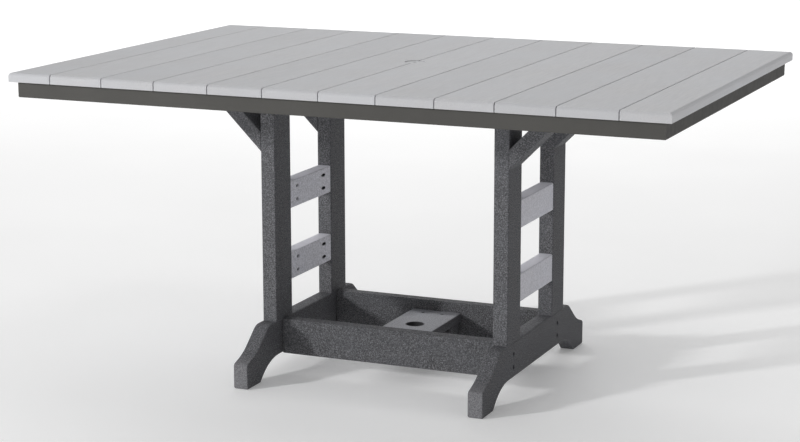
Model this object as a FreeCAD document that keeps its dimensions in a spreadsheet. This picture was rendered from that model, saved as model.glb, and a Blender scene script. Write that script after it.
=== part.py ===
# Rectangular outdoor dining table: a slatted top on a tube frame, carried by
# two trestles that are tied together by two low stretchers, with an umbrella
# hole through the middle.  Millimetres, +Z up, origin on the floor under the
# middle of the top.  X runs along the table, Y across it (front is -Y).
import FreeCAD, Part
import Sketcher
import math
import os
import re
from FreeCAD import Vector, Rotation, Placement

doc = FreeCAD.newDocument("outdoor_dining_table")
sheet = doc.addObject("Spreadsheet::Sheet", "Dimensions")

DIM = [
    # slatted top
    ("top_length", 1625.6), ("top_width", 1117.6), ("top_height", 774.7),
    ("slat_thick", 22.2), ("slat_pitch", 139.7), ("slat_gap", 2.2),
    ("slat_round", 8.0), ("slat_ease", 1.0),
    # tube frame under the slats
    ("frame_tall", 38.1), ("frame_deep", 25.4), ("frame_inset", 15.9),
    ("tube_wall", 2.0), ("bearer_wide", 38.1), ("bearer_y", 161.35),
    # trestles
    ("post_thick", 38.1), ("post_wide", 88.9), ("post_out_x", 325.2),
    ("post_out_y", 205.8), ("edge_round", 3.2),
    ("foot_length", 736.6), ("foot_tall", 133.4), ("arch_tall", 46.5),
    ("arch_low", 594.0), ("arch_high", 501.0), ("knee_y", 318.0),
    ("knee_z", 78.0),
    ("rail_thick", 34.9), ("rail_tall", 69.85),
    ("rail_upper_z", 404.5), ("rail_lower_z", 222.5),
    ("brace_cut", 49.4), ("brace_low_z", 561.0),
    # stretchers and the umbrella board between them
    ("stretcher_thick", 31.75), ("stretcher_tall", 88.9),
    ("stretcher_z", 45.4), ("stretcher_out_y", 176.3),
    ("board_wide", 136.5), ("board_thick", 22.2), ("board_top", 107.4),
    ("board_hole", 22.2), ("cleat_wide", 38.1), ("cleat_tall", 31.75),
    ("cleat_long", 120.0),
    # umbrella hole in the top, its ring and its plug
    ("top_hole", 25.4), ("ring_long", 240.0), ("ring_wide", 136.5),
    ("ring_thick", 19.0), ("ring_hole", 20.6),
    ("plug_radius", 23.0), ("plug_low", 0.3), ("plug_sunk", 1.2),
    ("plug_finger", 6.0),
    # fasteners
    ("screw_shank", 2.0), ("screw_drill", 2.2), ("screw_head", 4.1),
    ("lag_shank", 3.0), ("lag_drill", 3.2), ("lag_head", 5.5),
    ("pocket_bore", 4.6), ("pocket_stop", 22.0), ("rail_screw_z", 17.0),
]
D = dict(DIM)
for row, (alias, number) in enumerate(DIM, start=1):
    sheet.set("A%d" % row, alias)
    sheet.set("B%d" % row, repr(number))
    sheet.setAlias("B%d" % row, alias)
doc.recompute()


def bound(text):
    """A sheet formula: every dimension name becomes a reference to its cell."""
    return re.sub(r"[a-z][a-z_]*[a-z]", lambda m: "Dimensions." + m.group(0) if m.group(0) in D else m.group(0), text)


def place(obj, x, y, z, rot=None):
    obj.Placement = Placement(Vector(0, 0, 0), rot if rot is not None else Rotation())
    for axis, text in zip("xyz", (x, y, z)):
        obj.setExpression(".Placement.Base." + axis, bound(text))
    return obj


def block(name, lx, ly, lz, x, y, z, rot=None):
    obj = doc.addObject("Part::Box", name)
    for prop, text in (("Length", lx), ("Width", ly), ("Height", lz)):
        obj.setExpression(prop, bound(text))
    return place(obj, x, y, z, rot)


def rod(name, radius, height, x, y, z, way=(0, 0, 1)):
    obj = doc.addObject("Part::Cylinder", name)
    obj.setExpression("Radius", bound(radius))
    obj.setExpression("Height", bound(height))
    return place(obj, x, y, z, Rotation(Vector(0, 0, 1), Vector(*way)))


def ease(name, base, rounds):
    """Round the edges that each test picks, to its radius."""
    doc.recompute()
    picked = []
    for index, edge in enumerate(base.Shape.Edges, start=1):
        for test, radius in rounds:
            if test(edge):
                picked.append((index, radius, radius))
                break
    obj = doc.addObject("Part::Fillet", name)
    obj.Base = base
    obj.Edges = picked
    return obj


def runs(edge, axis):
    a, b = edge.Vertexes[0].Point, edge.Vertexes[-1].Point
    d = b - a
    span = {"x": d.x, "y": d.y, "z": d.z}
    return abs(abs(span[axis]) - d.Length) < 1e-6 and d.Length > 1e-3


def drilled(name, base, tools):
    pack = doc.addObject("Part::Compound", name + "_bores")
    pack.Links = tools
    obj = doc.addObject("Part::Cut", name)
    obj.Base = base
    obj.Tool = pack
    return obj


nodes = []


def node(label, obj):
    obj.Label = label
    nodes.append((label, obj))
    return obj


def screw(name, shank, length, head, tall, x, y, z, way):
    """A screw whose head's inner face sits at x, y, z; the shank runs along way."""
    w = Vector(*way)
    stem = rod(name + "_stem", shank, length, x, y, z, way)
    back = [" - (%.9f) * (%s)" % (c, tall) for c in (w.x, w.y, w.z)]
    cap = rod(name + "_cap", head, tall, x + back[0], y + back[1], z + back[2], way)
    obj = doc.addObject("Part::Fuse", name)
    obj.Base = stem
    obj.Tool = cap
    return obj


def group(label, items):
    obj = doc.addObject("Part::Compound", label)
    obj.Links = items
    return node(label, obj)


UNDER = "top_height - slat_thick"                    # underside of the slats
FRAME_LOW = "(top_height - slat_thick - frame_tall)"  # underside of the frame
OUT_X = "(top_length / 2 - frame_inset)"
OUT_Y = "(top_width / 2 - frame_inset)"
EDGE_Y = "(top_width / 2 - frame_inset - frame_deep / 2)"
MID_X = "(post_out_x - post_thick / 2)"
MID_Y = "(post_out_y - post_wide / 2)"
IN_X = "(post_out_x - post_thick)"

# ---------------------------------------------------------------- slats
# Twelve boards across the table; the two end boards are narrower.  The ends
# and the table's outer edges have a large round-over, the gap edges a small one.
slat_mid = {}
lines_y = ["-" + EDGE_Y, "-bearer_y", "bearer_y", EDGE_Y]
for n in range(1, 13):
    left = "-(top_length / 2)" if n == 1 else "(%d * slat_pitch + slat_gap / 2)" % (n - 7)
    right = "(top_length / 2)" if n == 12 else "(%d * slat_pitch - slat_gap / 2)" % (n - 6)
    slat_mid[n] = "((%s + %s) / 2)" % (left, right)
    blank = block("slat_%02d_blank" % n, right + " - " + left, "top_width", "slat_thick", left, "-top_width / 2", UNDER)
    doc.recompute()
    high, low = D["top_height"], D["top_height"] - D["slat_thick"]
    half_x, half_y = D["top_length"] / 2, D["top_width"] / 2

    def top_end(e):
        c = e.CenterOfMass
        return runs(e, "x") and c.z > high - 0.01 or (runs(e, "y") and abs(abs(c.x) - half_x) < 0.01 and c.z > high - 0.01)

    first = ease("slat_%02d_ends" % n, blank, [(top_end, D["slat_round"])])
    doc.recompute()

    def gap_edge(e):
        c = e.CenterOfMass
        return runs(e, "y") and abs(abs(c.x) - half_x) > 12 and c.z > high - 0.01

    def low_edge(e):
        c = e.CenterOfMass
        return (runs(e, "x") or runs(e, "y")) and c.z < low + 0.01

    second = ease("slat_%02d_eased" % n, first, [(gap_edge, D["slat_ease"]), (low_edge, D["slat_ease"])])
    bores = [rod("slat_%02d_bore_%d" % (n, k), "screw_drill", "16", slat_mid[n], y, UNDER + " - 1")
             for k, y in enumerate(lines_y)]
    if n in (6, 7):
        bores.append(rod("slat_%02d_umbrella" % n, "top_hole", "slat_thick + 2", "0", "0", UNDER + " - 1"))
        side = "-" if n == 6 else ""
        bores += [rod("slat_%02d_ring_bore_%d" % (n, k), "screw_drill", "16", side + "42", y, UNDER + " - 1")
                  for k, y in enumerate(("-90", "90"))]
    node("slat_%02d" % n, drilled("slat_%02d" % n, second, bores))

# ---------------------------------------------------------------- tube frame
# Four mitred rectangular tubes under the rim, and two square bearers inside.  The
# slat screws bear on the upper wall and are reached through holes in the lower one.
tall = "frame_tall - 2 * tube_wall"
for label, lx, ly, x, y, turn, corners in (
        ("apron_front", "2 * " + OUT_X, "frame_deep", "-" + OUT_X, "-" + OUT_Y, 45, ((-1, -1), (1, -1))),
        ("apron_rear", "2 * " + OUT_X, "frame_deep", "-" + OUT_X, OUT_Y + " - frame_deep", 225, ((-1, 1), (1, 1))),
        ("apron_left", "frame_deep", "2 * " + OUT_Y, "-" + OUT_X, "-" + OUT_Y, -45, ((-1, -1), (-1, 1))),
        ("apron_right", "frame_deep", "2 * " + OUT_Y, OUT_X + " - frame_deep", "-" + OUT_Y, 135, ((1, -1), (1, 1)))):
    long_x = label in ("apron_front", "apron_rear")
    outer = block(label + "_outer", lx, ly, "frame_tall", x, y, FRAME_LOW)
    rounded = ease(label + "_rounded", outer, [(lambda e: runs(e, "x" if long_x else "y"), 2.5)])
    if long_x:
        hollow = block(label + "_hollow", lx + " + 20", "frame_deep - 2 * tube_wall", tall, x + " - 10", y + " + tube_wall", FRAME_LOW + " + tube_wall")
    else:
        hollow = block(label + "_hollow", "frame_deep - 2 * tube_wall", ly + " + 20", tall, x + " + tube_wall", y + " - 10", FRAME_LOW + " + tube_wall")
    tools = [hollow]
    for k, (sx, sy) in enumerate(corners):
        tools.append(block(label + "_mitre_%d" % k, "80", "80", "frame_tall + 20", "%d * %s" % (sx, OUT_X), "%d * %s" % (sy, OUT_Y),
                           FRAME_LOW + " - 10", Rotation(Vector(0, 0, 1), turn)))
    if long_x:
        side = "-" if label == "apron_front" else ""
        tools += [rod(label + "_bore_%02d" % n, "screw_drill", "frame_tall + 4", slat_mid[n], side + EDGE_Y, FRAME_LOW + " - 2") for n in range(1, 13)]
        tools += [rod(label + "_reach_%02d" % n, "screw_head + 0.9", "frame_tall / 2 + 2", slat_mid[n], side + EDGE_Y, FRAME_LOW + " - 2") for n in range(1, 13)]
    node(label, drilled(label, rounded, tools))

for label, side in (("bearer_tube_front", "-"), ("bearer_tube_rear", "")):
    run = "2 * (%s - frame_deep)" % OUT_X
    outer = block(label + "_outer", run, "bearer_wide", "frame_tall", "-(%s - frame_deep)" % OUT_X, side + "bearer_y - bearer_wide / 2", FRAME_LOW)
    rounded = ease(label + "_rounded", outer, [(lambda e: runs(e, "x"), 2.5)])
    hollow = block(label + "_hollow", run + " + 20", "bearer_wide - 2 * tube_wall", tall, "-(%s - frame_deep) - 10" % OUT_X,
                   side + "bearer_y - bearer_wide / 2 + tube_wall", FRAME_LOW + " + tube_wall")
    tools = [hollow]
    tools += [rod(label + "_bore_%02d" % n, "screw_drill", "frame_tall + 4", slat_mid[n], side + "bearer_y", FRAME_LOW + " - 2") for n in range(1, 13)]
    tools += [rod(label + "_reach_%02d" % n, "screw_head + 0.9", "frame_tall / 2 + 2", slat_mid[n], side + "bearer_y", FRAME_LOW + " - 2") for n in range(1, 13)]
    for sx in ("-", ""):
        for k, dx in enumerate(("- 9", "+ 9")):
            tag = label + ("_l%d" if sx else "_r%d") % k
            tools.append(rod(tag + "_lag", "lag_drill", "10", "%s%s %s" % (sx, MID_X, dx), side + "bearer_y", FRAME_LOW + " - 2"))
            tools.append(rod(tag + "_reach", "lag_head + 1", "frame_tall", "%s%s %s" % (sx, MID_X, dx), side + "bearer_y", FRAME_LOW + " + frame_tall / 2"))
        for k, dy in enumerate(("- 10", "+ 10")):
            tools.append(rod(label + ("_bl%d" if sx else "_br%d") % k, "screw_drill", "6", sx + "(post_out_x + (%s - brace_low_z) - brace_cut / 2)" % FRAME_LOW,
                             side + "bearer_y " + dy, FRAME_LOW + " - 2"))
    node(label, drilled(label, rounded, tools))

# ---------------------------------------------------------------- trestles
SLANT_S, SLANT_C = math.sin(math.radians(22)), math.cos(math.radians(22))
rail_screws, brace_screws, lag_screws, head_screws = [], [], [], []
for tx, xside in (("left", -1), ("right", 1)):
    sx = "-" if xside < 0 else ""
    # foot: a shaped board on edge, hollowed ends, arched underside
    label = "foot_" + tx
    x0 = "post_out_x - post_thick" if xside > 0 else "-post_out_x"
    blank = block(label + "_blank", "post_thick", "foot_length", "foot_tall", x0, "-foot_length / 2", "0")
    # each end falls from the shoulder to a knee, then more gently to the toe
    ends = []
    for k, s in enumerate((-1, 1)):
        steep, mild = -s * 38.4, -s * 17.7
        for tag, slope, inward in (("steep", steep, -s), ("mild", mild, s)):
            turn = math.radians(slope)
            back = 0.0 if inward > 0 else -200.0
            ends.append(block(label + "_%s_%d" % (tag, k), "post_thick + 20", "200", "200", x0 + " - 10",
                              "%d * knee_y + (%.6f)" % (s, back * math.cos(turn)), "knee_z + (%.6f)" % (back * math.sin(turn)),
                              Rotation(Vector(1, 0, 0), slope)))
    arch = doc.addObject("Part::Wedge", label + "_arch")
    for prop, text in (("Xmin", "-10"), ("Xmax", "post_thick + 10"), ("X2min", "-10"), ("X2max", "post_thick + 10"),
                       ("Ymin", "-10 * 0"), ("Ymax", "arch_tall"), ("Zmin", "-arch_low / 2"), ("Zmax", "arch_low / 2"),
                       ("Z2min", "-arch_high / 2"), ("Z2max", "arch_high / 2")):
        arch.setExpression(prop, bound(text))
    place(arch, x0, "0", "0", Rotation(Vector(1, 0, 0), 90))
    shaped = drilled(label + "_shaped", blank, ends + [arch])
    doc.recompute()

    def shoulder(e):
        c = e.CenterOfMass
        return runs(e, "x") and c.z > D["foot_tall"] - 0.01

    def arch_top(e):
        c = e.CenterOfMass
        return runs(e, "x") and abs(c.z - D["arch_tall"]) < 0.01

    def knee(e):
        c = e.CenterOfMass
        return runs(e, "x") and abs(c.z - D["knee_z"]) < 0.01

    def toe(e):
        c = e.CenterOfMass
        return runs(e, "x") and abs(abs(c.y) - D["foot_length"] / 2) < 0.01 and c.z > 1

    def toe_low(e):
        c = e.CenterOfMass
        return runs(e, "x") and abs(abs(c.y) - D["foot_length"] / 2) < 0.01 and c.z < 0.01

    def heel(e):
        c = e.CenterOfMass
        return runs(e, "x") and c.z < 0.01 and abs(abs(c.y) - D["foot_length"] / 2) > 1

    soft = ease(label + "_soft", shaped, [(shoulder, 40.0), (arch_top, 135.0), (knee, 140.0), (toe, 9.0), (toe_low, 5.0), (heel, 5.0)])
    doc.recompute()
    faces_x = (D["post_out_x"] * xside, (D["post_out_x"] - D["post_thick"]) * xside)

    def outline(e):
        xs = [v.Point.x for v in e.Vertexes] + [e.CenterOfMass.x]
        return any(all(abs(x - f) < 0.01 for x in xs) for f in faces_x)

    smooth = ease(label + "_smooth", soft, [(outline, 3.2)])
    bores = []
    for k, (y, z) in enumerate([(s + "(stretcher_out_y - stretcher_thick / 2)", z) for s in ("-", "") for z in ("72", "104")]):
        bores.append(rod(label + "_side_%d" % k, "lag_drill", "post_thick + 4", sx + "(%s - 2)" % IN_X, y, z, (xside, 0, 0)))
        bores.append(rod(label + "_sink_%d" % k, "lag_head + 0.3", "20", sx + "(post_out_x - 12)", y, z, (xside, 0, 0)))
    for k, y in enumerate([s + MID_Y + d for s in ("-", "") for d in (" - 24", " + 24")]):
        bores.append(rod(label + "_lag_%d" % k, "lag_drill", "foot_tall", sx + MID_X, y, "arch_tall - 2"))
        bores.append(rod(label + "_counter_%d" % k, "lag_head + 0.4", "20", sx + MID_X, y, "arch_tall - 8"))
        lag_screws.append(screw(label + "_lagscrew_%d" % k, "lag_shank", "130", "lag_head", "4", sx + MID_X, y, "arch_tall + 12", (0, 0, 1)))
    node(label, drilled(label, smooth, bores))

    for ty, yside in (("front", -1), ("rear", 1)):
        sy = "-" if yside < 0 else ""
        # post
        label = "post_%s_%s" % (ty, tx)
        blank = block(label + "_blank", "post_thick", "post_wide", FRAME_LOW + " - foot_tall", x0,
                      "post_out_y - post_wide" if yside > 0 else "-post_out_y", "foot_tall")
        soft = ease(label + "_soft", blank, [(lambda e: runs(e, "z"), D["edge_round"])])
        bores = [rod(label + "_lag_%d" % k, "lag_drill", "62", sx + MID_X, sy + MID_Y + d, "foot_tall - 2") for k, d in enumerate((" - 24", " + 24"))]
        bores += [rod(label + "_head_%d" % k, "lag_drill", "64", "%s%s %s" % (sx, MID_X, d), sy + MID_Y, FRAME_LOW + " - 62") for k, d in enumerate(("- 9", "+ 9"))]
        for k, rz in enumerate(("rail_upper_z", "rail_lower_z")):
            for j, dz in enumerate((" - rail_screw_z", " + rail_screw_z")):
                way = (xside * SLANT_S, yside * SLANT_C, 0)
                z = rz + " + rail_tall / 2" + dz
                bores.append(rod(label + "_rail_%d%d" % (k, j), "screw_drill", "36", "%s%s - (%.9f) * 4" % (sx, MID_X, way[0]),
                                 "%s(post_out_y - post_wide) - (%.9f) * 4" % (sy, way[1]), z, way))
                rail_screws.append(screw(label + "_railscrew_%d%d" % (k, j), "screw_shank", "pocket_stop + 30", "screw_head", "3",
                                         "%s%s - (%.9f) * pocket_stop" % (sx, MID_X, way[0]),
                                         "%s(post_out_y - post_wide) - (%.9f) * pocket_stop" % (sy, way[1]), z, way))
        for k, d in enumerate((" - 25", " + 25")):
            bores.append(rod(label + "_brace_%d" % k, "screw_drill", "28", sx + "(post_out_x + 2)", sy + MID_Y + d, "brace_low_z + brace_cut / 2", (-xside, 0, 0)))
        node(label, drilled(label, soft, bores))
        for k, d in enumerate(("- 9", "+ 9")):
            head_screws.append(screw(label + "_headscrew_%d" % k, "lag_shank", "60", "lag_head", "4", "%s%s %s" % (sx, MID_X, d), sy + "bearer_y",
                                     FRAME_LOW + " + tube_wall", (0, 0, -1)))

        # knee brace at 45 degrees: upright cut on the post, level cut under the bearer
        label = "brace_%s_%s" % (ty, tx)
        body = doc.addObject("PartDesign::Body", label + "_body")
        plane = [o for o in body.Origin.OriginFeatures if o.Role == "XZ_Plane"][0]
        sk = body.newObject("Sketcher::SketchObject", label + "_outline")
        sk.AttachmentSupport = [(plane, "")]
        sk.MapMode = "FlatFace"
        reach = "(%s - brace_low_z)" % FRAME_LOW
        low = D["top_height"] - D["slat_thick"] - D["frame_tall"] - D["brace_low_z"]
        cut = D["brace_cut"]
        corner = [(0.0, 0.0, "0", "0"), (low, low, reach, reach), (low - cut, low, reach + " - brace_cut", reach), (0.0, cut, "0", "brace_cut")]
        for k in range(4):
            a, b = corner[k], corner[(k + 1) % 4]
            sk.addGeometry(Part.LineSegment(Vector(xside * a[0], a[1], 0), Vector(xside * b[0], b[1], 0)), False)
        for k in range(4):
            sk.addConstraint(Sketcher.Constraint("Coincident", k, 2, (k + 1) % 4, 1))
        for k, c in enumerate(corner):
            if k == 0:
                sk.addConstraint(Sketcher.Constraint("Coincident", 0, 1, -1, 1))
                continue
            if c[0] == 0.0:
                sk.addConstraint(Sketcher.Constraint("PointOnObject", k, 1, -2))
            else:
                i = sk.addConstraint(Sketcher.Constraint("DistanceX", -1, 1, k, 1, xside * c[0]) if xside > 0 else Sketcher.Constraint("DistanceX", k, 1, -1, 1, c[0]))
                sk.setExpression("Constraints[%d]" % i, bound(c[2]))
            i = sk.addConstraint(Sketcher.Constraint("DistanceY", -1, 1, k, 1, c[1]))
            sk.setExpression("Constraints[%d]" % i, bound(c[3]))
        pad = body.newObject("PartDesign::Pad", label + "_pad")
        pad.Profile = sk
        pad.setExpression("Length", bound("post_wide"))
        doc.recompute()
        body.Tip = pad
        doc.recompute()
        yshift = "post_out_y" if yside > 0 else "-post_out_y + post_wide"
        place(body, sx + "post_out_x", yshift, "brace_low_z")
        doc.recompute()
        long_edges = lambda e: not runs(e, "y") and not runs(e, "x") and not runs(e, "z")
        soft = ease(label + "_soft", body, [(long_edges, D["edge_round"])])
        bores = []
        for k, d in enumerate((" - 25", " + 25")):
            bores.append(rod(label + "_hbore_%d" % k, "screw_drill", "40", sx + "(post_out_x - 2)", sy + MID_Y + d, "brace_low_z + brace_cut / 2", (xside, 0, 0)))
            bores.append(rod(label + "_hsink_%d" % k, "pocket_bore", "40", sx + "(post_out_x + 16)", sy + MID_Y + d, "brace_low_z + brace_cut / 2", (xside, 0, 0)))
            brace_screws.append(screw(label + "_hscrew_%d" % k, "screw_shank", "40", "screw_head", "3", sx + "(post_out_x + 16)", sy + MID_Y + d,
                                      "brace_low_z + brace_cut / 2", (-xside, 0, 0)))
        topx = sx + "(post_out_x + %s - brace_cut / 2)" % reach
        for k, d in enumerate((" - 10", " + 10")):
            bores.append(rod(label + "_vbore_%d" % k, "screw_drill", "40", topx, sy + MID_Y + d, FRAME_LOW + " - 38"))
            bores.append(rod(label + "_vsink_%d" % k, "pocket_bore", "40", topx, sy + MID_Y + d, FRAME_LOW + " - 56"))
            brace_screws.append(screw(label + "_vscrew_%d" % k, "screw_shank", "22", "screw_head", "3", topx, sy + MID_Y + d, FRAME_LOW + " - 16", (0, 0, 1)))
        node(label, drilled(label, soft, bores))

    # two rails between the posts, screwed through slanted pockets on the inner face
    for level, rz in (("upper", "rail_upper_z"), ("lower", "rail_lower_z")):
        label = "rail_%s_%s" % (level, tx)
        blank = block(label + "_blank", "rail_thick", "2 * (post_out_y - post_wide)", "rail_tall", sx + MID_X + " - rail_thick / 2", "-(post_out_y - post_wide)", rz)
        soft = ease(label + "_soft", blank, [(lambda e: runs(e, "y"), D["edge_round"])])
        bores = []
        for yside in (-1, 1):
            sy = "-" if yside < 0 else ""
            for j, dz in enumerate((" - rail_screw_z", " + rail_screw_z")):
                way = (xside * SLANT_S, yside * SLANT_C, 0)
                z = rz + " + rail_tall / 2" + dz
                tag = label + ("_f%d" if yside < 0 else "_b%d") % j
                bores.append(rod(tag + "_pocket", "pocket_bore", "80", "%s%s - (%.9f) * (pocket_stop + 80)" % (sx, MID_X, way[0]),
                                 "%s(post_out_y - post_wide) - (%.9f) * (pocket_stop + 80)" % (sy, way[1]), z, way))
                bores.append(rod(tag + "_drill", "screw_drill", "40", "%s%s - (%.9f) * (pocket_stop + 2)" % (sx, MID_X, way[0]),
                                 "%s(post_out_y - post_wide) - (%.9f) * (pocket_stop + 2)" % (sy, way[1]), z, way))
        node(label, drilled(label, soft, bores))

# ---------------------------------------------------------------- stretchers
stretcher_screws, cleat_screws, board_screws = [], [], []
MID_S = "(stretcher_out_y - stretcher_thick / 2)"
IN_S = "(stretcher_out_y - stretcher_thick)"
for ty, yside in (("front", -1), ("rear", 1)):
    sy = "-" if yside < 0 else ""
    label = "stretcher_" + ty
    blank = block(label + "_blank", "2 * " + IN_X, "stretcher_thick", "stretcher_tall", "-" + IN_X, IN_S if yside > 0 else "-stretcher_out_y", "stretcher_z")
    soft = ease(label + "_soft", blank, [(lambda e: True, D["edge_round"])])
    bores = []
    for xside in (-1, 1):
        sx = "-" if xside < 0 else ""
        for k, z in enumerate(("72", "104")):
            tag = label + ("_l%d" if xside < 0 else "_r%d") % k
            bores.append(rod(tag, "lag_drill", "62", sx + "(%s + 2)" % IN_X, sy + MID_S, z, (-xside, 0, 0)))
            stretcher_screws.append(screw(tag + "_screw", "lag_shank", "72", "lag_head", "3", sx + "(post_out_x - 12)", sy + MID_S, z, (-xside, 0, 0)))
    for k, x in enumerate(("-45", "45")):
        bores.append(rod(label + "_cleat_%d" % k, "screw_drill", "26", x, sy + "(%s - 2)" % IN_S, "board_top - board_thick - cleat_tall / 2", (0, yside, 0)))
    node(label, drilled(label, soft, bores))

    label = "board_cleat_" + ty
    blank = block(label + "_blank", "cleat_long", "cleat_wide", "cleat_tall", "-cleat_long / 2", IN_S + " - cleat_wide" if yside > 0 else "-" + IN_S, "board_top - board_thick - cleat_tall")
    soft = ease(label + "_soft", blank, [(lambda e: runs(e, "x"), 2.0)])
    bores = []
    for k, x in enumerate(("-45", "45")):
        z = "board_top - board_thick - cleat_tall / 2"
        bores.append(rod(label + "_h%d" % k, "screw_drill", "cleat_wide + 4", x, sy + "(%s - cleat_wide - 2)" % IN_S, z, (0, yside, 0)))
        bores.append(rod(label + "_s%d" % k, "pocket_bore", "10", x, sy + "(%s - cleat_wide + 6)" % IN_S, z, (0, -yside, 0)))
        cleat_screws.append(screw(label + "_hs%d" % k, "screw_shank", "52", "screw_head", "3", x, sy + "(%s - cleat_wide + 6)" % IN_S, z, (0, yside, 0)))
    for k, x in enumerate(("-26", "26")):
        bores.append(rod(label + "_v%d" % k, "screw_drill", "24", x, sy + "(%s - 28)" % IN_S, "board_top - board_thick - 22"))
        board_screws.append(screw(label + "_vs%d" % k, "screw_shank", "38", "screw_head", "2.6", x, sy + "(%s - 28)" % IN_S, "board_top - 3", (0, 0, -1)))
    node(label, drilled(label, soft, bores))

# umbrella board: a short board between the stretchers with the lower pole hole
body = doc.addObject("PartDesign::Body", "umbrella_board_body")
plane = [o for o in body.Origin.OriginFeatures if o.Role == "XY_Plane"][0]
sk = body.newObject("Sketcher::SketchObject", "umbrella_board_outline")
sk.AttachmentSupport = [(plane, "")]
sk.MapMode = "FlatFace"
bw, bl = D["board_wide"] / 2, D["stretcher_out_y"] - D["stretcher_thick"]
pts = [(-bw, -bl), (bw, -bl), (bw, bl), (-bw, bl)]
for k in range(4):
    sk.addGeometry(Part.LineSegment(Vector(*pts[k], 0), Vector(*pts[(k + 1) % 4], 0)), False)
for k in range(4):
    sk.addConstraint(Sketcher.Constraint("Coincident", k, 2, (k + 1) % 4, 1))
    sk.addConstraint(Sketcher.Constraint("Horizontal" if k % 2 == 0 else "Vertical", k))
sk.addConstraint(Sketcher.Constraint("Symmetric", 0, 1, 2, 1, -1, 1))
i = sk.addConstraint(Sketcher.Constraint("DistanceX", 0, 1, 0, 2, 2 * bw))
sk.setExpression("Constraints[%d]" % i, bound("board_wide"))
i = sk.addConstraint(Sketcher.Constraint("DistanceY", 1, 1, 1, 2, 2 * bl))
sk.setExpression("Constraints[%d]" % i, bound("2 * " + IN_S))
pad = body.newObject("PartDesign::Pad", "umbrella_board_pad")
pad.Profile = sk
pad.setExpression("Length", bound("board_thick"))
doc.recompute()
body.Tip = pad
place(body, "0", "0", "board_top - board_thick")
soft = ease("umbrella_board_soft", body, [(lambda e: runs(e, "y"), D["edge_round"])])
bores = [rod("umbrella_board_hole", "board_hole", "board_thick + 4", "0", "0", "board_top - board_thick - 2")]
for s in ("-", ""):
    for k, x in enumerate(("-26", "26")):
        tag = "umbrella_board" + ("_f%d" if s else "_b%d") % k
        bores.append(rod(tag, "screw_drill", "board_thick + 4", x, s + "(%s - 28)" % IN_S, "board_top - board_thick - 2"))
        bores.append(rod(tag + "_sink", "pocket_bore", "10", x, s + "(%s - 28)" % IN_S, "board_top - 3.1"))
node("umbrella_board", drilled("umbrella_board", soft, bores))

# ---------------------------------------------------------------- umbrella ring and plug
# The ring board hangs under the two middle slats; its hole is smaller than the
# hole in the slats, so that the plug rests on it.
blank = block("umbrella_ring_blank", "ring_wide", "ring_long", "ring_thick", "-ring_wide / 2", "-ring_long / 2", UNDER + " - ring_thick")
soft = ease("umbrella_ring_soft", blank, [(lambda e: e.CenterOfMass.z < D["top_height"] - D["slat_thick"] - D["ring_thick"] + 0.01, 2.0)])
bores = [rod("umbrella_ring_hole", "ring_hole", "ring_thick + 4", "0", "0", UNDER + " - ring_thick - 2")]
ring_screws = []
for k, (x, y) in enumerate((("-42", "-90"), ("-42", "90"), ("42", "-90"), ("42", "90"))):
    bores.append(rod("umbrella_ring_bore_%d" % k, "screw_drill", "ring_thick + 4", x, y, UNDER + " - ring_thick - 2"))
    ring_screws.append(screw("umbrella_ring_screw_%d" % k, "screw_shank", "ring_thick + 13", "screw_head", "2.6", x, y, UNDER + " - ring_thick", (0, 0, 1)))
node("umbrella_ring", drilled("umbrella_ring", soft, bores))

body = doc.addObject("PartDesign::Body", "umbrella_plug")
plane = [o for o in body.Origin.OriginFeatures if o.Role == "XZ_Plane"][0]
sk = body.newObject("Sketcher::SketchObject", "umbrella_plug_section")
sk.AttachmentSupport = [(plane, "")]
sk.MapMode = "FlatFace"
r0, r1 = D["plug_finger"], D["plug_radius"]
h = D["slat_thick"] - D["plug_low"] - D["plug_sunk"]
pts = [(r0, 0.0), (r1, 0.0), (r1, h), (r0, h)]
for k in range(4):
    sk.addGeometry(Part.LineSegment(Vector(*pts[k], 0), Vector(*pts[(k + 1) % 4], 0)), False)
for k in range(4):
    sk.addConstraint(Sketcher.Constraint("Coincident", k, 2, (k + 1) % 4, 1))
    sk.addConstraint(Sketcher.Constraint("Horizontal" if k % 2 == 0 else "Vertical", k))
sk.addConstraint(Sketcher.Constraint("PointOnObject", 0, 1, -1))
i = sk.addConstraint(Sketcher.Constraint("DistanceX", -1, 1, 0, 1, r0))
sk.setExpression("Constraints[%d]" % i, bound("plug_finger"))
i = sk.addConstraint(Sketcher.Constraint("DistanceX", -1, 1, 0, 2, r1))
sk.setExpression("Constraints[%d]" % i, bound("plug_radius"))
i = sk.addConstraint(Sketcher.Constraint("DistanceY", 1, 1, 1, 2, h))
sk.setExpression("Constraints[%d]" % i, bound("slat_thick - plug_low - plug_sunk"))
rev = body.newObject("PartDesign::Revolution", "umbrella_plug_turned")
rev.Profile = sk
rev.ReferenceAxis = (sk, ["V_Axis"])
rev.Angle = 360
doc.recompute()
rims = ["Edge%d" % k for k, e in enumerate(rev.Shape.Edges, start=1) if e.Curve.TypeId == "Part::GeomCircle" and len(e.Vertexes) == 1]
rim = body.newObject("PartDesign::Fillet", "umbrella_plug_rims")
rim.Base = (rev, rims)
rim.Radius = 1.6
doc.recompute()
body.Tip = rim
place(body, "0", "0", UNDER + " + plug_low")
node("umbrella_plug", body)

# ---------------------------------------------------------------- fastener groups
slat_screws = []
for n in range(1, 13):
    for k, y in enumerate(lines_y):
        slat_screws.append(screw("slat_screw_%02d_%d" % (n, k), "screw_shank", "tube_wall + 13", "screw_head", "2.6", slat_mid[n], y, UNDER + " - tube_wall", (0, 0, 1)))
group("slat_screws", slat_screws)
group("ring_screws", ring_screws)
group("bearer_screws", head_screws)
group("post_lag_screws", lag_screws)
group("rail_screws", rail_screws)
group("brace_screws", brace_screws)
group("stretcher_screws", stretcher_screws)
group("cleat_screws", cleat_screws)
group("board_screws", board_screws)

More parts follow.
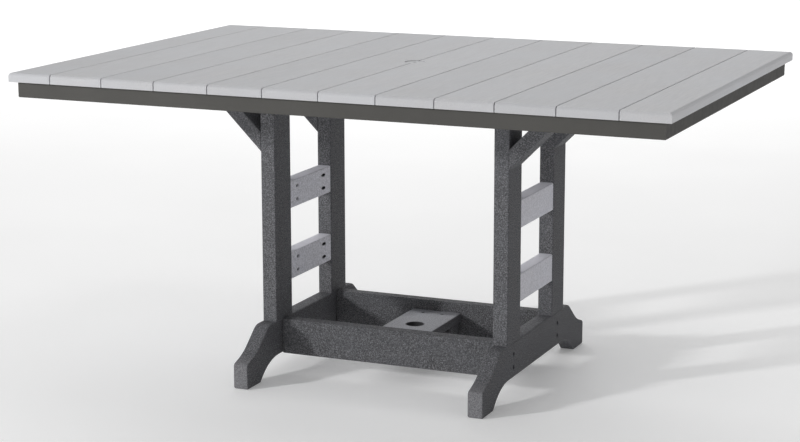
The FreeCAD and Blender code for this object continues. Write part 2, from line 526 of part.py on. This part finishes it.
# ---------------------------------------------------------------- test and write
doc.recompute()
bad = [o.Name for o in doc.Objects if "Invalid" in o.State or "Error" in o.State]
for label, obj in nodes:
    if obj.Shape.isNull() or not obj.Shape.isValid():
        bad.append(label + " shape")
if bad:
    raise RuntimeError("failed objects: " + ", ".join(bad))
os.makedirs("parts", exist_ok=True)
for label, obj in nodes:
    obj.Shape.exportStep("parts/%s.step" % label)
    b = obj.Shape.BoundBox
    print("%-22s solids %2d  volume %10.0f  x %7.1f %7.1f  y %7.1f %7.1f  z %6.1f %6.1f" % (
        label, len(obj.Shape.Solids), obj.Shape.Volume, b.XMin, b.XMax, b.YMin, b.YMax, b.ZMin, b.ZMax))
print(len(nodes), "nodes")
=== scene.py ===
# Outdoor dining table of moulded plastic lumber on a powder-coated tube frame.
# Metres, +Z up, front of the table towards -Y.
import bpy, bmesh, math
from mathutils import Vector, Matrix


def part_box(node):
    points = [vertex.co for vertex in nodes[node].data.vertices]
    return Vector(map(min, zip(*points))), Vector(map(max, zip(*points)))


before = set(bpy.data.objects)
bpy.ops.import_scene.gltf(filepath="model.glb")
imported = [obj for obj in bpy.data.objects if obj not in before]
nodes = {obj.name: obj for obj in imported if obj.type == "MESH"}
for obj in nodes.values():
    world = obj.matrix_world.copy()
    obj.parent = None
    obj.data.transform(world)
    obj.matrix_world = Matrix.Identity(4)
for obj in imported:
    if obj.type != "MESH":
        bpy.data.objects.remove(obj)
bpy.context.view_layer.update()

scene = bpy.context.scene

# ------------------------------------------------------------------ camera
YAW, PITCH, ROLL = (math.radians(a) for a in (23.2820, 11.8082, -0.0690))
FOCAL_PX = 2059.79
fwd = Vector((-math.sin(YAW) * math.cos(PITCH), math.cos(YAW) * math.cos(PITCH), -math.sin(PITCH)))
right = Vector((math.cos(YAW), math.sin(YAW), 0.0))
up = right.cross(fwd)
r2 = math.cos(ROLL) * right + math.sin(ROLL) * up
u2 = -math.sin(ROLL) * right + math.cos(ROLL) * up
cam_data = bpy.data.cameras.new("camera")
cam_data.sensor_width = 36.0
cam_data.lens = FOCAL_PX * 36.0 / 800.0
cam_data.clip_start, cam_data.clip_end = 0.05, 200.0
cam = bpy.data.objects.new("camera", cam_data)
scene.collection.objects.link(cam)
cam.matrix_world = Matrix(((r2.x, u2.x, -fwd.x, 1.96207), (r2.y, u2.y, -fwd.y, -4.65506),
                           (r2.z, u2.z, -fwd.z, 1.42964), (0, 0, 0, 1)))
scene.camera = cam


# ------------------------------------------------------------------ materials
class Graph:
    """A material's node tree, with short calls for the nodes that are used here."""

    def __init__(self, name):
        self.mat = bpy.data.materials.new(name)
        self.mat.use_nodes = True
        self.tree = self.mat.node_tree
        self.tree.nodes.clear()
        self.out = self.add("ShaderNodeOutputMaterial")
        self.bsdf = self.add("ShaderNodeBsdfPrincipled")
        self.link(self.bsdf.outputs["BSDF"], self.out.inputs["Surface"])
        self.coord = self.add("ShaderNodeTexCoord")

    def add(self, kind, **props):
        n = self.tree.nodes.new(kind)
        for k, v in props.items():
            setattr(n, k, v)
        return n

    def link(self, a, b):
        self.tree.links.new(a, b)

    def mapped(self, scale, turn=(0, 0, 0), shift=(0, 0, 0)):
        m = self.add("ShaderNodeMapping")
        m.inputs["Scale"].default_value = scale
        m.inputs["Rotation"].default_value = turn
        m.inputs["Location"].default_value = shift
        self.link(self.coord.outputs["Object"], m.inputs["Vector"])
        return m.outputs["Vector"]

    def noise(self, vector, scale, detail=2.0, rough=0.5, distort=0.0):
        n = self.add("ShaderNodeTexNoise")
        n.inputs["Scale"].default_value = scale
        n.inputs["Detail"].default_value = detail
        n.inputs["Roughness"].default_value = rough
        n.inputs["Distortion"].default_value = distort
        self.link(vector, n.inputs["Vector"])
        return n.outputs["Fac"]

    def ramp(self, fac, stops, mode="LINEAR"):
        r = self.add("ShaderNodeValToRGB")
        r.color_ramp.interpolation = mode
        els = r.color_ramp.elements
        while len(els) < len(stops):
            els.new(0.5)
        for e, (pos, col) in zip(els, stops):
            e.position = pos
            e.color = (*col, 1.0) if len(col) == 3 else col
        self.link(fac, r.inputs["Fac"])
        return r.outputs["Color"]

    def mix(self, fac, a, b, blend="MIX"):
        m = self.add("ShaderNodeMix", data_type="RGBA", blend_type=blend)
        fa = [s for s in m.inputs if s.name == "Factor" and s.type == "VALUE"][0]
        ca = [s for s in m.inputs if s.name == "A" and s.type == "RGBA"][0]
        cb = [s for s in m.inputs if s.name == "B" and s.type == "RGBA"][0]
        for sock, v in ((fa, fac), (ca, a), (cb, b)):
            if hasattr(v, "default_value"):
                self.link(v, sock)
            elif sock is fa:
                sock.default_value = v
            else:
                sock.default_value = (*v, 1.0)
        return [s for s in m.outputs if s.type == "RGBA"][0]

    def math(self, op, a, b=None, c=None, clamp=False):
        m = self.add("ShaderNodeMath", operation=op, use_clamp=clamp)
        for i, v in enumerate((a, b, c)):
            if v is None:
                continue
            if hasattr(v, "default_value"):
                self.link(v, m.inputs[i])
            else:
                m.inputs[i].default_value = v
        return m.outputs[0]

    def span(self, fac, lo, hi, a, b):
        m = self.add("ShaderNodeMapRange")
        m.inputs["From Min"].default_value = lo
        m.inputs["From Max"].default_value = hi
        m.inputs["To Min"].default_value = a
        m.inputs["To Max"].default_value = b
        self.link(fac, m.inputs["Value"])
        return m.outputs["Result"]

    def edge(self, radius):
        """About 1 on arrises and 0 on flats, from the angle between the face and a rounded normal."""
        b = self.add("ShaderNodeBevel", samples=4)
        b.inputs["Radius"].default_value = radius
        g = self.add("ShaderNodeNewGeometry")
        d = self.add("ShaderNodeVectorMath", operation="DOT_PRODUCT")
        self.link(b.outputs["Normal"], d.inputs[0])
        self.link(g.outputs["True Normal"], d.inputs[1])
        return self.span(d.outputs["Value"], 0.995, 0.93, 0.0, 1.0)

    def facing(self, axis, lo, hi):
        """Runs from 0 to 1 as the face's normal turns to point along an axis, on either side for X and Y."""
        g = self.add("ShaderNodeNewGeometry")
        d = self.add("ShaderNodeSeparateXYZ")
        self.link(g.outputs["True Normal"], d.inputs[0])
        v = d.outputs[axis]
        if axis != "Z":
            v = self.math("ABSOLUTE", v)
        return self.span(v, lo, hi, 0.0, 1.0)

    def place(self, axis):
        """Distance from the middle of the table along an axis, in metres."""
        d = self.add("ShaderNodeSeparateXYZ")
        self.link(self.coord.outputs["Object"], d.inputs[0])
        return self.math("ABSOLUTE", d.outputs[axis])

    def recess(self, lo, hi):
        """1 on the walls of holes inside a board's section across Y, 0 on its outer faces."""
        d = self.add("ShaderNodeSeparateXYZ")
        self.link(self.coord.outputs["Object"], d.inputs[0])
        deep = []
        for axis, a, b in (("X", lo.x, hi.x), ("Z", lo.z, hi.z)):
            off = self.math("ABSOLUTE", self.math("SUBTRACT", d.outputs[axis], (a + b) / 2))
            deep.append(self.span(off, (b - a) / 2 - 0.0012, (b - a) / 2 - 0.0040, 0.0, 1.0))
        return self.math("MULTIPLY", deep[0], deep[1])

    def bumps(self, layers):
        """Stack bump layers: (height, distance in metres, strength)."""
        last = None
        for h, dist, strength in layers:
            b = self.add("ShaderNodeBump")
            b.inputs["Strength"].default_value = strength
            b.inputs["Distance"].default_value = dist
            self.link(h, b.inputs["Height"])
            if last is not None:
                self.link(last, b.inputs["Normal"])
            last = b.outputs["Normal"]
        self.link(last, self.bsdf.inputs["Normal"])


GRAIN = {  # scale that stretches the grain along the board, and the turn of the board
    "x": ((0.035, 1, 1), (0, 0, 0)), "y": ((1, 0.035, 1), (0, 0, 0)), "z": ((1, 1, 0.035), (0, 0, 0)),
    "up_out": ((0.035, 1, 1), (0, math.radians(45), 0)), "up_in": ((0.035, 1, 1), (0, math.radians(-45), 0)),
}


def light_lumber(name, axis, tone, shift, fleck=0.0, painted_top_light=1.0, painted_end_shade=1.0, painted_rim=1.0, box=None):
    """Light grey moulded board: faint long grain, soft cloudiness, fine pits, satin."""
    g = Graph(name)
    scale, turn = GRAIN[axis]
    along = g.mapped(scale, turn, shift)
    iso = g.mapped((1, 1, 1), (0, 0, 0), shift)
    streak = g.noise(along, 420, 5.0, 0.62, 0.3)
    broad = g.noise(along, 46, 3.0, 0.5, 0.2)
    cloud = g.noise(iso, 5.0, 3.0, 0.5)
    speck = g.noise(iso, 620, 2.0, 0.6)
    pits = g.noise(iso, 1500, 2.0, 0.6)
    def shade(k, blue=0.0):
        return (tone[0] * k * (1 - blue), tone[1] * k, tone[2] * k * (1 + blue))
    col = g.ramp(streak, [(0.28, shade(0.90)), (0.5, shade(1.0)), (0.72, shade(1.07))])
    col = g.mix(g.span(broad, 0.3, 0.7, 0.0, 0.55), col, shade(0.955, 0.012))
    col = g.mix(g.span(cloud, 0.35, 0.65, 0.0, 0.6), col, shade(1.03, 0.02))
    col = g.mix(g.span(speck, 0.60, 0.74, 0.0, 0.45), col, shade(0.80))
    col = g.mix(g.span(speck, 0.40, 0.28, 0.0, 0.35), col, shade(1.14))
    if fleck:
        mottle = g.noise(iso, 240, 3.0, 0.65)
        col = g.mix(g.span(mottle, 0.53, 0.70, 0.0, fleck), col, shade(0.55))
        col = g.mix(g.span(mottle, 0.47, 0.32, 0.0, fleck), col, shade(1.45))
    if painted_top_light > 1.0:  # the upper face is painted lighter: painted light from above
        col = g.mix(g.math("MULTIPLY", g.facing("Z", 0.6, 0.95), g.span(cloud, 0.3, 0.7, 0.75, 1.0)), col, shade(painted_top_light))
    if painted_end_shade < 1.0:  # the cut end faces along Y are painted darker: painted shade on the ends
        end_shaded = g.mix(1.0, col, (painted_end_shade, painted_end_shade, painted_end_shade), "MULTIPLY")
        col = g.mix(g.facing("Y", 0.45, 0.9), col, end_shaded)
    if painted_rim > 1.0:  # the long outer edge facing X is painted lighter: painted light on the side
        painted_light_col = g.mix(1.0, col, (painted_rim, painted_rim, painted_rim), "MULTIPLY")
        col = g.mix(g.math("MULTIPLY", g.facing("X", 0.3, 0.9), g.span(cloud, 0.3, 0.7, 0.85, 1.0)), col, painted_light_col)
    if box:  # the walls of the screw pockets are painted dark: painted shade in the recesses
        col = g.mix(g.math("MULTIPLY", g.recess(*box), g.span(speck, 0.35, 0.65, 0.72, 0.95)), col, shade(0.10))
    edge = g.edge(0.0016)
    col = g.mix(g.math("MULTIPLY", edge, g.span(streak, 0.3, 0.7, 0.05, 0.35)), col, shade(1.12))
    g.link(col, g.bsdf.inputs["Base Color"])
    g.link(g.span(streak, 0.25, 0.75, 0.68, 0.52), g.bsdf.inputs["Roughness"])
    g.bsdf.inputs["Specular IOR Level"].default_value = 0.3
    g.bumps([(streak, 0.00035, 0.35), (speck, 0.00025, 0.35), (pits, 0.00012, 0.3)])
    return g.mat


def dark_lumber(name, axis, tone, shift, speck=1.0, painted_top_light=1.0, painted_toe_light=0.0, hole=0.0):
    """Dark grey moulded board: pebbled skin with light and dark specks, satin."""
    g = Graph(name)
    scale, turn = GRAIN[axis]
    along = g.mapped(scale, turn, shift)
    iso = g.mapped((1, 1, 1), (0, 0, 0), shift)
    pebble = g.noise(iso, 400, 3.0, 0.62, 0.2)
    fine = g.noise(iso, 820, 2.0, 0.6)
    streak = g.noise(along, 240, 3.0, 0.55, 0.2)
    cloud = g.noise(iso, 9.0, 3.0, 0.55)
    def shade(k, blue=0.0):
        return (tone[0] * k * (1 - blue), tone[1] * k, tone[2] * k * (1 + blue))
    col = g.ramp(pebble, [(0.33, shade(1 - 0.84 * speck)), (0.46, shade(1 - 0.26 * speck)), (0.54, shade(1 + 0.15 * speck)), (0.67, shade(1 + 1.7 * speck, 0.02))])
    col = g.mix(g.span(fine, 0.58, 0.72, 0.0, 0.6), col, shade(2.3, 0.03))
    col = g.mix(g.span(fine, 0.42, 0.30, 0.0, 0.55), col, shade(0.45))
    col = g.mix(g.span(streak, 0.35, 0.65, 0.0, 0.3), col, shade(0.82, 0.03))
    col = g.mix(g.span(cloud, 0.35, 0.65, 0.0, 0.28), col, shade(1.22, 0.05))
    if painted_top_light > 1.0:  # the upper face is painted lighter: painted light from above
        painted_light_col = g.mix(1.0, col, (painted_top_light, painted_top_light, painted_top_light), "MULTIPLY")
        col = g.mix(g.math("MULTIPLY", g.facing("Z", 0.6, 0.95), g.span(cloud, 0.3, 0.7, 0.85, 1.0)), col, painted_light_col)
    if painted_toe_light:  # the front of the toes and the rounded arrises of the feet are painted lighter: painted light on the toes, painted highlights on the arrises
        toe_lit = g.math("MULTIPLY", g.span(g.place("Y"), 0.325, 0.362, 0.0, painted_toe_light), g.span(pebble, 0.38, 0.62, 0.45, 1.0))
        col = g.mix(g.math("MULTIPLY", toe_lit, g.facing("X", 0.75, 0.3)), col, shade(2.4))
        arris = g.math("MULTIPLY", g.facing("X", 0.25, 0.55), g.facing("X", 0.97, 0.80))
        col = g.mix(g.math("MULTIPLY", arris, g.span(pebble, 0.38, 0.62, 0.2, 0.7)), col, shade(2.0))
    if hole:  # a dark ring is painted round the hole: painted shade on the hole's rim
        far = g.math("SQRT", g.math("ADD", g.math("POWER", g.place("X"), 2.0), g.math("POWER", g.place("Y"), 2.0)))
        painted_rim = g.math("MULTIPLY", g.span(far, hole + 0.0030, hole + 0.0012, 0.0, 1.0), g.span(cloud, 0.3, 0.7, 0.75, 0.95))
        col = g.mix(painted_rim, col, shade(0.16))
    # the arrises are painted lighter: edge wear and a painted highlight
    edge = g.edge(0.0018)
    col = g.mix(g.math("MULTIPLY", edge, g.span(pebble, 0.35, 0.65, 0.22, 0.62)), col, shade(2.0))
    g.link(col, g.bsdf.inputs["Base Color"])
    g.link(g.span(pebble, 0.3, 0.7, 0.74, 0.58), g.bsdf.inputs["Roughness"])
    g.bsdf.inputs["Specular IOR Level"].default_value = 0.2
    g.bumps([(pebble, 0.0009, 0.5), (fine, 0.0004, 0.4), (streak, 0.0003, 0.25)])
    return g.mat


def powder_coat(name, tone):
    """Dark olive-grey powder coat: orange peel, a little dust in the tone, satin."""
    g = Graph(name)
    iso = g.mapped((1, 1, 1))
    peel = g.noise(iso, 900, 2.0, 0.5)
    cloud = g.noise(iso, 6.0, 3.0, 0.5)
    dust = g.noise(iso, 60.0, 4.0, 0.6)
    def shade(k):
        return tuple(c * k for c in tone)
    col = g.ramp(cloud, [(0.3, shade(0.94)), (0.7, shade(1.06))])
    col = g.mix(g.span(dust, 0.5, 0.75, 0.0, 0.35), col, shade(1.14))
    col = g.mix(g.span(peel, 0.6, 0.75, 0.0, 0.3), col, shade(1.2))
    edge = g.edge(0.0012)
    col = g.mix(g.math("MULTIPLY", edge, g.span(dust, 0.4, 0.6, 0.1, 0.5)), col, shade(1.5))
    g.link(col, g.bsdf.inputs["Base Color"])
    g.link(g.span(dust, 0.3, 0.7, 0.50, 0.62), g.bsdf.inputs["Roughness"])
    g.bsdf.inputs["Specular IOR Level"].default_value = 0.16
    g.bumps([(peel, 0.0002, 0.35)])
    return g.mat


def screw_black(name):
    """Black-coated screw: fine turning marks, and bright where the coat has worn off."""
    g = Graph(name)
    iso = g.mapped((1, 1, 1))
    fine = g.noise(iso, 2400, 3.0, 0.6)
    rub = g.noise(iso, 420, 3.0, 0.6)
    col = g.ramp(fine, [(0.3, (0.022, 0.022, 0.023)), (0.7, (0.045, 0.045, 0.046))])
    col = g.mix(g.span(rub, 0.60, 0.75, 0.0, 0.6), col, (0.22, 0.21, 0.20))
    g.link(col, g.bsdf.inputs["Base Color"])
    g.link(g.span(rub, 0.4, 0.7, 0.55, 0.38), g.bsdf.inputs["Roughness"])
    g.link(g.span(rub, 0.60, 0.75, 0.1, 0.9), g.bsdf.inputs["Metallic"])
    g.bumps([(fine, 0.0001, 0.3)])
    return g.mat


SLAT = (0.556, 0.554, 0.566)
RAIL = (0.663, 0.657, 0.706)
DARK = (0.102, 0.101, 0.106)
COAT = (0.073, 0.0712, 0.0665)
mats = {}


def pick(node):
    if node.endswith("_screws"):
        return "screw", lambda: screw_black("screw_black")
    if node.startswith("slat_"):
        n = int(node[5:7])
        k = 1.0 + 0.012 * ((n * 7) % 5 - 2)
        # the slats' end faces carry painted shade, and the outer edge of slat 12 carries painted light
        return node, lambda: light_lumber("lumber_" + node, "y", tuple(c * k for c in SLAT), (0.37 * n, 0.91 * n, 0.13 * n), painted_end_shade=0.87, painted_rim=1.28 if n == 12 else 1.0)
    if node == "umbrella_plug":
        return node, lambda: light_lumber("lumber_plug", "x", tuple(c * 1.02 for c in SLAT), (5.1, 2.3, 1.7))
    if node.startswith("rail_"):
        n = ("rail_upper_left", "rail_lower_left", "rail_upper_right", "rail_lower_right").index(node)
        # the rails' upper faces are painted lighter: painted light from above
        return node, lambda: light_lumber("lumber_" + node, "y", RAIL, (2.3 + n, 1.1 * n, 0.7 * n), (0.75, 0.75, 0.5, 0.5)[n], 1.36, box=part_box(node))
    if node.startswith(("apron_", "bearer_")):
        return "coat", lambda: powder_coat("powder_coat", COAT)
    axis = "y" if node.startswith("foot") else "z" if node.startswith("post") else "x"
    if node.startswith("brace"):
        axis = "up_in" if node.endswith("right") else "up_out"
    if node in ("umbrella_board", "umbrella_ring"):
        axis = "y"
    n = sum(ord(c) for c in node) % 23
    at = (0.31 * n, 0.17 * n, 0.53 * n)
    if node == "umbrella_board":
        # the board's top is painted much lighter (painted light) and its hole rim darker (painted shade)
        return node, lambda: dark_lumber("lumber_" + node, axis, DARK, at, 0.5, painted_top_light=3.3, hole=0.0222)
    if node.startswith("foot"):
        # the feet carry painted light on the toes, the arrises and the top faces
        return node, lambda: dark_lumber("lumber_" + node, axis, DARK, at, painted_top_light=1.15, painted_toe_light=0.58)
    # the stretchers are painted darker than the other dark boards: painted shade under the table
    k = 0.86 if node.startswith("stretcher") else 1.0
    return node, lambda: dark_lumber("lumber_" + node, axis, tuple(c * k for c in DARK), at, painted_top_light=1.1)


for name, obj in nodes.items():
    key, make = pick(name)
    if key not in mats:
        mats[key] = make()
    if not obj.data.materials:
        obj.data.materials.append(mats[key])
    for s in obj.material_slots:
        s.material = mats[key]

# ------------------------------------------------------------------ floor and light
mesh = bpy.data.meshes.new("floor")
bm = bmesh.new()
bmesh.ops.create_grid(bm, x_segments=8, y_segments=8, size=30.0)
bm.to_mesh(mesh)
bm.free()
floor = bpy.data.objects.new("floor", mesh)
floor.location = (0, 0, -0.0005)
scene.collection.objects.link(floor)
g = Graph("floor_paint")
iso = g.mapped((1, 1, 1))
tone = g.noise(iso, 1.3, 3.0, 0.5)
g.link(g.ramp(tone, [(0.3, (0.90, 0.90, 0.90)), (0.7, (0.93, 0.93, 0.93))]), g.bsdf.inputs["Base Color"])
g.bsdf.inputs["Roughness"].default_value = 0.9
g.link(g.ramp(tone, [(0.3, (0.97, 0.97, 0.97)), (0.7, (1.0, 1.0, 1.0))]), g.bsdf.inputs["Emission Color"])
g.bsdf.inputs["Emission Strength"].default_value = 0.15
g.bsdf.inputs["Specular IOR Level"].default_value = 0.1
mesh.materials.append(g.mat)

world = bpy.data.worlds.new("studio")
scene.world = world
world.use_nodes = True
bg = world.node_tree.nodes["Background"]
bg.inputs["Color"].default_value = (1.0, 1.0, 1.0, 1.0)
sky = world.node_tree.nodes  # the room is brighter on the left than on the right
way, part, fade = sky.new("ShaderNodeTexCoord"), sky.new("ShaderNodeSeparateXYZ"), sky.new("ShaderNodeMapRange")
for sock, v in (("From Min", -1.0), ("From Max", 1.0), ("To Min", 0.45), ("To Max", 0.29)):
    fade.inputs[sock].default_value = v
world.node_tree.links.new(way.outputs["Generated"], part.inputs[0])
world.node_tree.links.new(part.outputs["X"], fade.inputs["Value"])
world.node_tree.links.new(fade.outputs["Result"], bg.inputs["Strength"])


def lamp(name, at, frm, wide, tall, watts):
    """A soft rectangular studio light that looks from one point to another."""
    data = bpy.data.lights.new(name, "AREA")
    data.shape = "RECTANGLE"
    data.size, data.size_y = wide, tall
    data.energy = watts
    obj = bpy.data.objects.new(name, data)
    scene.collection.objects.link(obj)
    obj.rotation_mode = "QUATERNION"
    obj.rotation_quaternion = (Vector(at) - Vector(frm)).normalized().to_track_quat("-Z", "Y")
    obj.location = frm
    return obj


lamp("key", (-0.15, -0.1, 0.4), (-5.85, -6.6, 3.0), 0.45, 0.9, 415.0)
lamp("front_fill", (0.0, 0.0, 0.6), (-1.0, -7.5, 1.0), 5.0, 1.6, 74.0)
lamp("floor_wash", (-3.0, 8.2, 0.0), (-3.0, 8.0, 6.0), 7.0, 6.0, 460.0)
lamp("overhead", (1.5, 0.3, 0.0), (1.5, 0.3, 4.2), 2.0, 1.5, 15.0)

scene.view_settings.view_transform = "Standard"
scene.view_settings.look = "None"
